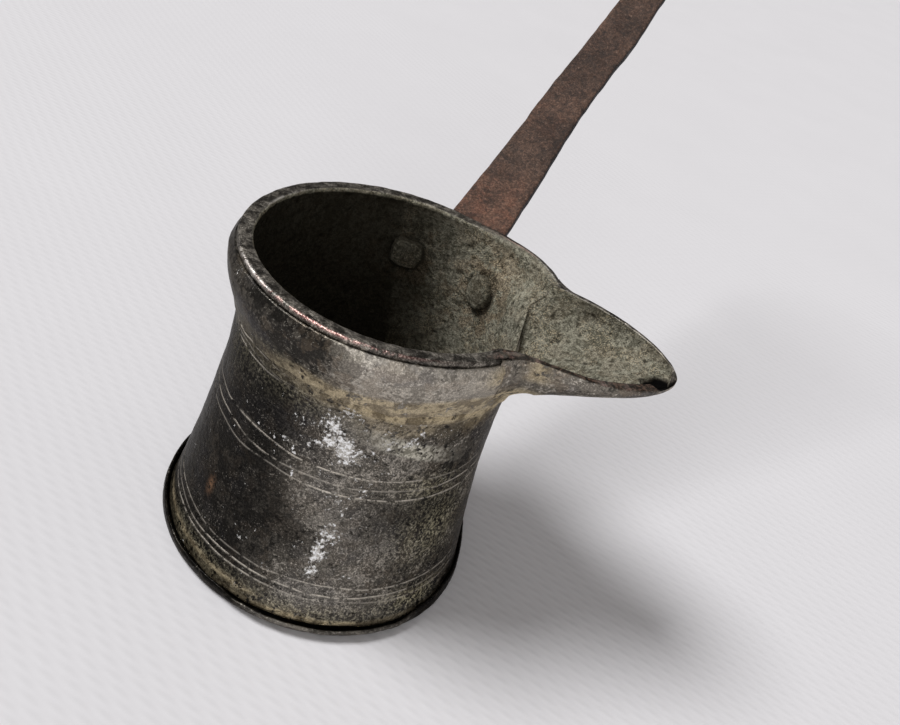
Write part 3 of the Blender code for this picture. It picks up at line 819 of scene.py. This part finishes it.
def close_holes(piece):
    """Closes every open edge loop of a piece, and turns its faces outward."""
    shape = bmesh.new()
    shape.from_mesh(piece.data)
    rims = [edge for edge in shape.edges if edge.is_boundary]
    bmesh.ops.holes_fill(shape, edges=rims, sides=0)
    bmesh.ops.recalc_face_normals(shape, faces=shape.faces)
    for face in shape.faces:
        face.smooth = len(face.verts) <= 4
    shape.to_mesh(piece.data)
    shape.free()


def cut_through(piece, tool, place):
    """Cuts tool out of piece for good, and drops the tool."""
    tool.matrix_world = place
    boolean = piece.modifiers.new("hole", "BOOLEAN")
    boolean.solver = "EXACT"
    boolean.object = tool
    bpy.context.view_layer.update()
    evaluated = piece.evaluated_get(bpy.context.evaluated_depsgraph_get())
    mesh = bpy.data.meshes.new_from_object(evaluated)
    piece.modifiers.clear()
    piece.data = mesh
    bpy.data.objects.remove(tool, do_unlink=True)


def rivet_outline(size, far):
    """Half-section along the rivet's own axis: inner head of this size, shank, domed head beyond far."""
    head = [(0.015, -1.2), (0.27, -1.2), (0.54, -1.15), (0.78, -1.05), (0.91, -0.8), (0.99, -0.45), (1, 0.0)]
    outline = [(size * r, t) for r, t in head + [(0.95, 0.3)]]
    outline += [(RIVET_SHANK, 0.35), (RIVET_SHANK, far), (3.5, far), (3.65, far + 0.25), (3.5, far + 0.7)]
    outline += [(3.0, far + 1.15), (2.2, far + 1.5), (1.2, far + 1.68), (0.05, far + 1.72)]
    dense = []
    for (r0, t0), (r1, t1) in zip(outline[:-1], outline[1:]):
        for share in np.linspace(0, 1, 5)[:-1]:
            dense.append((r0 + (r1 - r0) * share, t0 + (t1 - t0) * share))
    return dense + [outline[-1]]


def build_rivet(name, node, azimuth, size, squareness, stretch, material):
    """A hammered rivet: low uneven head inside the pot, shank, and a domed head on the palm."""
    far = RIVET_OUTER_SEAT - RIVET_INNER_SEAT
    dense = rivet_outline(size, far)
    radius = np.array([r for r, _ in dense])[:, None]
    along = np.array([t for _, t in dense])[:, None]
    turns = np.linspace(0, 2 * np.pi, 72, endpoint=False)[None, :]
    square = (np.abs(np.cos(turns)) ** squareness + np.abs(np.sin(turns)) ** squareness) ** (-1 / squareness)
    shaped = radius * np.where(along < far / 2, square, 1.0)
    x = shaped * np.cos(turns) * stretch
    y = shaped * np.sin(turns)
    head = step(0.6 * size, 0.95 * size, radius)
    local = np.stack([x, y, along + 0 * x], axis=-1)
    rough = layered(local + 50 * azimuth, (0.2, 2.4, 131), (0.1, 0.9, 132))
    x = x * (1 + 0.4 * head * rough)
    y = y * (1 + 0.4 * head * rough)
    lean_in = math.tan(RIVET_TILT)
    lean_out = math.tan(math.pi / 2 - PALM_SLOPE - RIVET_TILT)
    along = along + np.where(along < far / 2, lean_in * x + rough, -lean_out * x + rough)
    local = np.stack([x, y, along, np.ones_like(x)], axis=-1)
    outward = Matrix.Rotation(azimuth, 4, "Z") @ Matrix.Rotation(math.pi / 2 + RIVET_TILT, 4, "Y")
    axis_height = RIVET_HEIGHT + math.tan(RIVET_TILT) * NECK_RADIUS
    place = Matrix.Translation((0, 0, axis_height)) @ outward @ Matrix.Translation((0, 0, RIVET_INNER_SEAT))
    points = (local @ np.array(place).T)[..., :3]
    inner_head = (along < far / 2).astype(float)
    rim = inner_head * step(0.8 * size, 1.0 * size, radius)
    # Painted shade on the inner heads: most on the squarer head, at the edge of the lip's cast shadow, and
    # round each head's rim where it meets the wall.
    shade_on_heads = 0.25 + 0.6 * (squareness > 3) + 0.5 * rim
    masks = {"inside": inner_head, "soot_and_shade": inner_head * np.clip(shade_on_heads, 0, 1), "shade": 0.6}
    piece = grid_piece(name, node, points, material, masks, wrap_columns=True)
    close_holes(piece)
    return piece


# ---------------------------------------------------------------- materials


class Finish:
    """A short way to write a node material. Each call adds one node and gives back its output socket."""

    def __init__(self, name):
        self.material = bpy.data.materials.new(name)
        self.material.use_nodes = True
        self.tree = self.material.node_tree
        self.shader = self.tree.nodes["Principled BSDF"]
        self.place = self.node("ShaderNodeTexCoord", "Object", {})

    def node(self, kind, output, inputs, **settings):
        node = self.tree.nodes.new(kind)
        for key, value in settings.items():
            setattr(node, key, value)
        for key, value in inputs.items():
            self.feed(node.inputs[key], value)
        return node.outputs[output]

    def feed(self, socket, value):
        if isinstance(value, bpy.types.NodeSocket):
            self.tree.links.new(value, socket)
        elif isinstance(value, tuple):
            socket.default_value = (*value, 1.0) if len(value) == 3 and socket.type == "RGBA" else value
        else:
            socket.default_value = value

    def noise(self, size, detail=3.0, roughness=0.55, distortion=0.0):
        """Noise with features of about size millimetres."""
        inputs = {"Vector": self.place, "Scale": 1 / (size * MM), "Detail": detail}
        inputs.update({"Roughness": roughness, "Distortion": distortion})
        return self.node("ShaderNodeTexNoise", "Fac", inputs)

    def mask(self, name):
        return self.node("ShaderNodeAttribute", "Fac", {}, attribute_name=name)

    def ramp(self, value, low, high):
        inputs = {"Value": value, "From Min": low, "From Max": high}
        return self.node("ShaderNodeMapRange", "Result", inputs, interpolation_type="SMOOTHSTEP")

    def maths(self, operation, first, second):
        clamp = operation != "SUBTRACT"
        return self.node("ShaderNodeMath", 0, {0: first, 1: second}, operation=operation, use_clamp=clamp)

    def times(self, *values):
        result = values[0]
        for value in values[1:]:
            result = self.maths("MULTIPLY", result, value)
        return result

    def mix(self, share, first, second):
        return self.node("ShaderNodeMix", 2, {0: share, 6: first, 7: second}, data_type="RGBA")

    def blend(self, share, first, second):
        return self.node("ShaderNodeMix", 0, {0: share, 2: first, 3: second}, data_type="FLOAT")

    def scaled(self, colour, factor):
        return self.node("ShaderNodeVectorMath", "Vector", {0: colour, "Scale": factor}, operation="SCALE")

    def bump(self, height, distance, strength, under=None):
        inputs = {"Height": height, "Distance": distance * MM, "Strength": strength}
        if under is not None:
            inputs["Normal"] = under
        return self.node("ShaderNodeBump", "Normal", inputs)

    def done(self, **looks):
        """Feeds the shader's inputs by name, with _ for each space, and gives back the material."""
        for name, value in looks.items():
            self.feed(self.shader.inputs[name.replace("_", " ")], value)
        return self.material


def tone(red, green, blue, lift=1.0):
    """A colour from display levels of 0 to 255, lightened by lift."""
    return tuple(min(1.0, (level / 255) ** 2.2 * lift) for level in (red, green, blue))


def metal_tone(red, green, blue):
    """The same for bare metal, which mirrors surroundings darker than itself."""
    return tone(red, green, blue, 1.5)


def tin_tone(level, warmth=0.04):
    return metal_tone(level * (1 + warmth), level, level * (1 - 1.6 * warmth))


def tin_surface(f, darkest, middle, lightest, grain):
    """Adds the worn tin to f, with its pale areas of painted sheen, shaded areas of painted shade and dark
    patches, olive areas and painted glints.
    """
    f.value = f.blend(0.4, f.blend(0.35, f.mottle, f.fine), f.noise(9, 4, 0.6))
    # Painted sheen (the pale mask) lifts the tone; painted shade (the shade mask, which on the body also
    # holds dark patches) lowers it.
    f.value = f.maths("ADD", f.value, f.times(f.mask("pale"), 0.085))
    f.value = f.maths("SUBTRACT", f.value, f.times(f.mask("shade"), 0.085))
    colour = f.mix(f.ramp(f.value, 0.42, 0.49), tin_tone(darkest), tin_tone(middle, 0.05))
    colour = f.mix(f.ramp(f.value, 0.54, 0.58), colour, tin_tone(lightest))
    bluish = f.times(f.ramp(f.noise(12, 3, 0.5), 0.5, 0.62), 0.45)
    colour = f.mix(bluish, colour, metal_tone(middle * 0.74, middle * 0.73, middle * 0.79))
    brownish = f.times(f.ramp(f.noise(5, 6, 0.65), 0.52, 0.58), 0.45)
    colour = f.mix(brownish, colour, metal_tone(middle * 1.12, middle, middle * 0.86))
    f.olive = f.times(f.mask("olive"), f.ramp(f.blend(0.5, f.mottle, f.fine), 0.44, 0.5), 0.85)
    olive = f.mix(f.ramp(f.fine, 0.42, 0.58), metal_tone(72, 69, 57), metal_tone(142, 136, 113))
    colour = f.mix(f.olive, colour, olive)
    # Painted sheen towards the lightest tone, and painted shade, with the body's dark patches, towards a
    # darker one.
    colour = f.mix(f.times(f.mask("pale"), 0.3), colour, tin_tone(lightest * 1.15))
    colour = f.mix(f.times(f.mask("shade"), 0.74), colour, tin_tone(darkest * 0.8))
    f.contrast = f.blend(f.ramp(f.grit, 0.45, 0.6), 1 - 0.3 * grain, 1 + 0.75 * grain)
    colour = f.scaled(colour, f.contrast)
    f.pocks = f.times(f.ramp(f.noise(1.6, 4, 0.6), 0.4, 0.37), 0.6 * grain)
    colour = f.mix(f.pocks, colour, tin_tone(darkest * 0.5))
    glints = f.times(f.ramp(f.grit, 0.6, 0.63), f.ramp(f.noise(6, 3), 0.44, 0.54), 0.85 * grain)
    glints = f.times(glints, f.blend(f.mask("shade"), 1.0, 0.3))
    f.colour = f.mix(glints, colour, tin_tone(lightest * 1.5))


def deposits(f):
    """Adds tan crust, chalk, rust, and flakes of bared tin with a painted highlight among them, to f:
    f.deposit and f.flaked are where they lie.
    """
    tan_share = f.times(f.mask("tan"), f.ramp(f.blend(0.35, f.mottle, f.fine), 0.4, 0.45))
    tan = f.ramp(f.noise(3.2, 5, 0.6), 0.45, 0.54)
    tan = f.mix(tan, metal_tone(112, 101, 81), metal_tone(163, 150, 124))
    tan = f.scaled(tan, f.blend(f.ramp(f.grit, 0.42, 0.6), 0.85, 1.2))
    colour = f.mix(f.times(tan_share, 0.9), f.colour, tan)
    chalk_share = f.times(f.mask("chalk"), f.ramp(f.blend(0.5, f.mottle, f.fine), 0.4, 0.45))
    chalk = f.ramp(f.noise(1.1, 5, 0.7), 0.42, 0.56)
    chalk = f.mix(chalk, metal_tone(120, 117, 106), metal_tone(184, 180, 168))
    colour = f.mix(chalk_share, colour, chalk)
    rust = f.times(f.mask("rust"), f.ramp(f.fine, 0.4, 0.5), 0.85)
    colour = f.mix(rust, colour, metal_tone(112, 86, 66))
    torn = f.blend(0.45, f.noise(0.9, 5, 0.7), f.noise(3.4, 3, 0.5))
    f.flaked = f.ramp(f.maths("ADD", f.times(f.mask("flake"), 0.2), torn), 0.645, 0.665)
    flake = f.mix(f.ramp(f.fine, 0.4, 0.6), metal_tone(150, 146, 140), metal_tone(226, 222, 219))
    f.colour = f.mix(f.flaked, colour, flake)
    f.deposit = f.maths("MAXIMUM", f.maths("MAXIMUM", tan_share, chalk_share), f.olive)


def bare_places(f):
    """Adds the scribed lines, the worn lip, worn edges with a painted highlight on the lip's outer edge,
    bared copper, the dark rims, and painted black shade in hollows to f.
    """
    line = f.times(f.mask("groove"), f.ramp(f.noise(2.4, 5, 0.65), 0.37, 0.5))
    colour = f.mix(f.times(line, 0.95), f.colour, tin_tone(182))
    worn_lip = f.mix(f.ramp(f.mottle, 0.4, 0.6), tin_tone(60), tin_tone(112))
    colour = f.mix(f.times(f.mask("lip"), 0.75), colour, f.scaled(worn_lip, f.contrast))
    rubbed_and_highlit = f.times(f.mask("rub"), f.ramp(f.noise(1.2, 5, 0.7), 0.42, 0.52))
    colour = f.mix(rubbed_and_highlit, colour, metal_tone(215, 208, 202))
    bared = f.times(f.mask("copper"), f.ramp(f.noise(2.0, 5, 0.65), 0.42, 0.5))
    copper = f.mix(f.ramp(f.speck, 0.4, 0.6), metal_tone(120, 78, 76), metal_tone(228, 178, 168))
    colour = f.mix(bared, colour, copper)
    dark = f.mix(f.ramp(f.fine, 0.45, 0.62), tone(26, 20, 16), tone(84, 66, 56))
    colour = f.mix(f.mask("dark"), colour, dark)
    f.colour = f.mix(f.mask("black"), colour, tone(10, 9, 8))


def inner_deposit(f):
    """The crust inside: its colour, then its grain, sand and holes for the relief."""
    grain = f.noise(1.1, 4, 0.65, 0.3)
    sand = f.noise(0.32, 2, 0.55)
    tan_zone = f.mask("tan_crust")
    soot_and_shade_share = f.mask("soot_and_shade")
    pale = f.ramp(f.blend(0.35, grain, f.noise(6, 4, 0.6)), 0.43, 0.56)
    crust = f.mix(pale, tone(121, 118, 103), tone(162, 158, 141))
    brown = f.times(f.ramp(f.noise(4.5, 6, 0.65), 0.47, 0.55), f.blend(tan_zone, 0.2, 0.6))
    crust = f.mix(brown, crust, tone(142, 124, 102))
    crust = f.scaled(crust, f.blend(f.ramp(f.blend(0.65, grain, sand), 0.42, 0.6), 0.82, 1.5))
    gaps = f.times(f.ramp(f.noise(0.8, 4, 0.65), 0.41, 0.37), f.blend(tan_zone, 0.45, 0.95))
    holes = f.maths("MAXIMUM", f.mask("pits"), gaps)
    crust = f.mix(f.times(holes, 0.8), crust, tone(46, 42, 35))
    # Painted shade, over burnt coffee: the crust goes nearly black and loses its pale grains in the lip's
    # cast shadow and towards the bottom.
    crust = f.mix(f.times(soot_and_shade_share, 0.93), crust, tone(36, 32, 24))
    thick_grains = f.blend(tan_zone, f.ramp(f.noise(7, 3), 0.45, 0.6), f.blend(soot_and_shade_share, 0.95, 0.35))
    grains = f.times(f.ramp(sand, 0.57, 0.61), thick_grains, f.blend(soot_and_shade_share, 0.8, 0.0))
    return f.mix(grains, crust, tone(206, 188, 156)), grain, sand, holes


def sheet_metal(name, darkest, middle, lightest, grain=1.0, crusted=True):
    """Blackened, worn tin over copper. Masks on the mesh place its marks, its painted sheen, shade and
    highlights, and its crust if it is crusted.
    """
    f = Finish(name)
    f.mottle = f.noise(2.6, 6, 0.62, 0.3)
    f.fine = f.noise(0.65, 3, 0.6)
    f.speck = f.noise(0.3, 2, 0.5)
    f.grit = f.blend(0.62, f.fine, f.speck)
    tin_surface(f, darkest, middle, lightest, grain)
    deposits(f)
    bare_places(f)
    colour = f.colour
    normal = f.bump(f.mottle, 0.4 * grain, 0.8)
    normal = f.bump(f.fine, 0.17 * grain, 0.9, normal)
    normal = f.bump(f.speck, 0.07 * grain, 0.9, normal)
    normal = f.bump(f.pocks, -0.12, 0.9, normal)
    normal = f.bump(f.maths("MAXIMUM", f.flaked, f.deposit), 0.15, 0.8, normal)
    dark = f.mask("dark")
    metal = f.blend(f.maths("MAXIMUM", f.flaked, f.times(f.deposit, 0.5)), 0.88, 0.45)
    metal = f.blend(dark, metal, 0.05)
    rough = f.blend(f.deposit, f.blend(f.ramp(f.value, 0.42, 0.6), 0.33, 0.48), 0.75)
    rough = f.blend(dark, rough, 0.8)
    shine = f.blend(dark, 0.5, 0.12)
    if crusted:
        inside = f.mask("inside")
        crust, grains, sand, holes = inner_deposit(f)
        colour = f.mix(inside, colour, crust)
        normal = f.bump(grains, 1.0, inside, normal)
        normal = f.bump(sand, 0.5, inside, normal)
        normal = f.bump(holes, -0.3, f.times(inside, 0.8), normal)
        metal = f.blend(inside, metal, 0.02)
        rough = f.blend(inside, rough, 0.9)
        shine = f.blend(inside, shine, 0.2)
    looks = {"Specular_IOR_Level": shine, "Specular_Tint": (0.5, 0.49, 0.48)}
    return f.done(Base_Color=colour, Roughness=rough, Metallic=metal, Normal=normal, **looks)


def rusted_iron():
    """Forged iron: brown rust over black scale, redder towards the pot, nearly black on the strap's sides."""
    f = Finish("rusted_iron")
    broad = f.noise(9, 5, 0.6)
    mottle = f.noise(2.4, 9, 0.74, 0.4)
    fine = f.noise(0.6, 6, 0.75)
    root = f.mask("root")
    scale = f.ramp(f.blend(0.4, f.blend(0.5, broad, mottle), fine), 0.40, 0.60)
    dull = f.mix(scale, tone(58, 47, 41), tone(96, 76, 65))
    ruddy = f.mix(scale, tone(78, 58, 48), tone(132, 100, 84))
    colour = f.mix(root, dull, ruddy)
    colour = f.scaled(colour, f.blend(f.ramp(f.noise(16, 3, 0.5), 0.4, 0.6), 0.7, 1.12))
    reds = f.times(root, f.ramp(f.noise(3.0, 7, 0.7), 0.48, 0.58), 0.4)
    colour = f.mix(reds, colour, tone(124, 82, 64))
    grit = f.blend(0.5, f.noise(0.9, 3, 0.6), f.noise(0.4, 2))
    colour = f.scaled(colour, f.blend(f.ramp(grit, 0.44, 0.62), 0.8, 1.6))
    black = f.times(f.ramp(f.noise(2.6, 5, 0.6), 0.44, 0.38), 0.5)
    colour = f.mix(black, colour, tone(38, 33, 31))
    worn = f.times(f.ramp(fine, 0.58, 0.66), f.ramp(mottle, 0.44, 0.54), 0.6)
    colour = f.mix(worn, colour, tone(150, 132, 120))
    edge = f.mix(mottle, tone(20, 22, 26), tone(38, 40, 44))
    colour = f.mix(f.times(f.mask("edge"), 0.92), colour, edge)
    normal = f.bump(mottle, 0.7, 0.9)
    normal = f.bump(fine, 0.3, 0.9, normal)
    rough = f.blend(f.ramp(mottle, 0.4, 0.6), 0.55, 0.8)
    return f.done(Base_Color=colour, Roughness=rough, Metallic=0.25, Normal=normal)


def backdrop_sheet():
    """Pale woven paper: a fine dimpled weave and a very faint change of tone."""
    f = Finish("backdrop_sheet")
    weave = {"Vector": f.place, "Scale": 116.0, "Distortion": 1.2, "Detail Scale": 0.5}
    waves = []
    for direction in ("DIAGONAL", "Y"):
        waves.append(f.node("ShaderNodeTexWave", "Fac", weave, wave_type="BANDS", bands_direction=direction))
    dimples = f.times(*waves)
    sheet = f.mix(f.noise(60, 3), (0.76, 0.745, 0.76), (0.8, 0.785, 0.8))
    sheet = f.mix(f.times(dimples, 0.06), sheet, (0.6, 0.6, 0.6))
    normal = f.bump(dimples, 0.2, 0.3)
    return f.done(Base_Color=sheet, Roughness=0.9, Metallic=0.0, Normal=normal)


# ---------------------------------------------------------------- stage


def build_floor():
    """A wide sheet just under the pot."""
    half = 25.0
    below = -0.1 * MM
    corners = [(-half, -half, below), (half, -half, below), (half, half, below), (-half, half, below)]
    mesh = bpy.data.meshes.new("floor")
    mesh.from_pydata(corners, [], [(0, 1, 2, 3)])
    mesh.materials.append(backdrop_sheet())
    put_in_scene("floor", mesh)


def add_light(name, azimuth, elevation, spread, strength, tint=(1.0, 1.0, 1.0)):
    """A far soft light that fills spread degrees of the sky, so that the floor is lit evenly to its edge."""
    lamp = bpy.data.lights.new(name, "SUN")
    lamp.energy = strength
    lamp.angle = math.radians(spread)
    lamp.color = tint
    light = put_in_scene(name, lamp)
    turn, rise = math.radians(azimuth), math.radians(elevation)
    away = Vector((math.cos(turn) * math.cos(rise), math.sin(turn) * math.cos(rise), math.sin(rise)))
    light.rotation_euler = away.to_track_quat("Z", "Y").to_euler()


def add_sky(strength):
    """An even pale sky, which the camera sees a little brighter so that it meets the floor."""
    world = bpy.data.worlds.new("studio")
    bpy.context.scene.world = world
    world.use_nodes = True
    tree = world.node_tree
    background = tree.nodes["Background"]
    background.inputs["Color"].default_value = (1.0, 0.97, 0.96, 1.0)
    background.inputs["Strength"].default_value = strength
    backdrop = tree.nodes.new("ShaderNodeBackground")
    backdrop.inputs["Color"].default_value = (0.735, 0.72, 0.735, 1.0)
    path = tree.nodes.new("ShaderNodeLightPath")
    either = tree.nodes.new("ShaderNodeMixShader")
    tree.links.new(path.outputs["Is Camera Ray"], either.inputs[0])
    tree.links.new(background.outputs[0], either.inputs[1])
    tree.links.new(backdrop.outputs[0], either.inputs[2])
    tree.links.new(either.outputs[0], tree.nodes["World Output"].inputs["Surface"])


def add_camera():
    """Looks down at the pot from in front of it, a little rolled, as hand-held."""
    position = Vector((24.16, -171.88, 166.25)) * MM
    forward = Vector((-0.03737, 0.83671, -0.54638))
    right = Vector((0.92651, 0.23387, 0.29477))
    camera = bpy.data.cameras.new("camera")
    camera.sensor_width = 36
    camera.lens = 38.12
    camera.clip_start = 0.01
    holder = put_in_scene("camera", camera)
    up = right.cross(forward).normalized()
    right = forward.cross(up).normalized()
    turn = Matrix((right, up, -forward.normalized())).transposed()
    holder.matrix_world = Matrix.Translation(position) @ turn.to_4x4()
    bpy.context.scene.camera = holder


def main():
    body_tin = sheet_metal("blackened_tin", 30, 61, 106)
    collar_tin = sheet_metal("collar_tin", 46, 93, 138, grain=0.5)
    base_tin = sheet_metal("base_tin", 22, 46, 92, grain=0.6, crusted=False)
    build_body(body_tin)
    build_collar(collar_tin)
    build_spout(collar_tin)
    build_lap(collar_tin)
    build_base(base_tin)
    build_handle(rusted_iron())
    build_rivet("rivet_a", "rivet_left", HANDLE_AZIMUTH + RIVET_SPREAD, 3.9, 3.4, 1.0, body_tin)
    build_rivet("rivet_b", "rivet_right", HANDLE_AZIMUTH - RIVET_SPREAD, 3.5, 2.2, 1.32, body_tin)
    build_floor()
    add_light("key", 188, 57, 24, 2.39, (0.985, 0.99, 1.0))
    add_light("fill", 285, 40, 41, 0.26)
    add_light("glint", 277, 14, 18, 0.45)
    add_sky(0.23)
    add_camera()
    bpy.context.scene.view_settings.view_transform = "Standard"


main()
